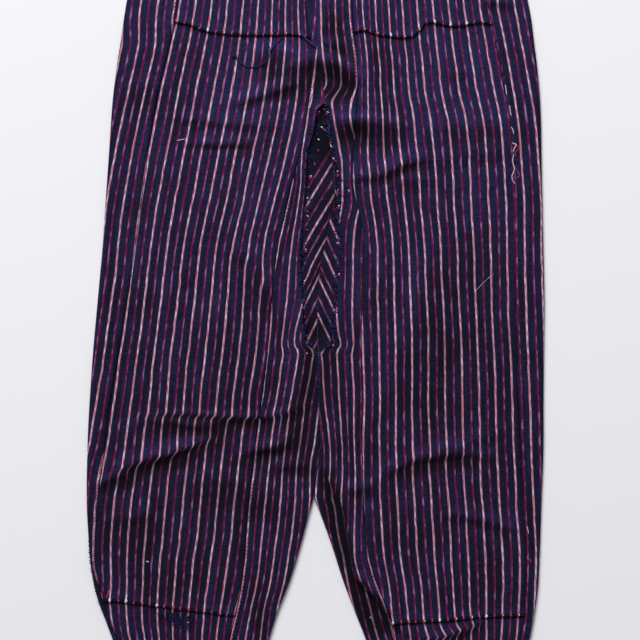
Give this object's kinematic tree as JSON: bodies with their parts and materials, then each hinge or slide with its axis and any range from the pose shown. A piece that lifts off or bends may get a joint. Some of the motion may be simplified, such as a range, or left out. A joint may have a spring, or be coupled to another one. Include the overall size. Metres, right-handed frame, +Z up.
{
  "type": "monpe pants",
  "caption": "Gathered work trousers of striped hand-loom cotton laid out flat, with pieced front panels, wrap-round back panels and a bias gusset.",
  "frame": {"origin": "on the table under the middle of the garment's outline", "axes": "+X across the garment towards the right-hand side as seen from above, +Y along the legs up to the waist, +Z up from the table through the cloth"},
  "size_m": [0.5476, 0.92, 0.0092],
  "materials": {
    "striped_cotton": "matt hand-woven navy cotton with red, white and purple stripes",
    "band_cotton": "the same striped cotton, turned and pressed double"
  },
  "bodies": {
    "root": {"left_front_hip": "striped_cotton", "left_front_thigh": "striped_cotton", "left_front_shin": "striped_cotton", "right_front_hip": "striped_cotton", "right_front_thigh": "striped_cotton", "right_front_shin": "striped_cotton", "left_back": "striped_cotton", "right_back": "striped_cotton", "gusset_left": "striped_cotton", "gusset_right": "striped_cotton", "waistband": "band_cotton", "left_hem_band": "band_cotton", "right_hem_band": "band_cotton"}
  },
  "joints": []
}
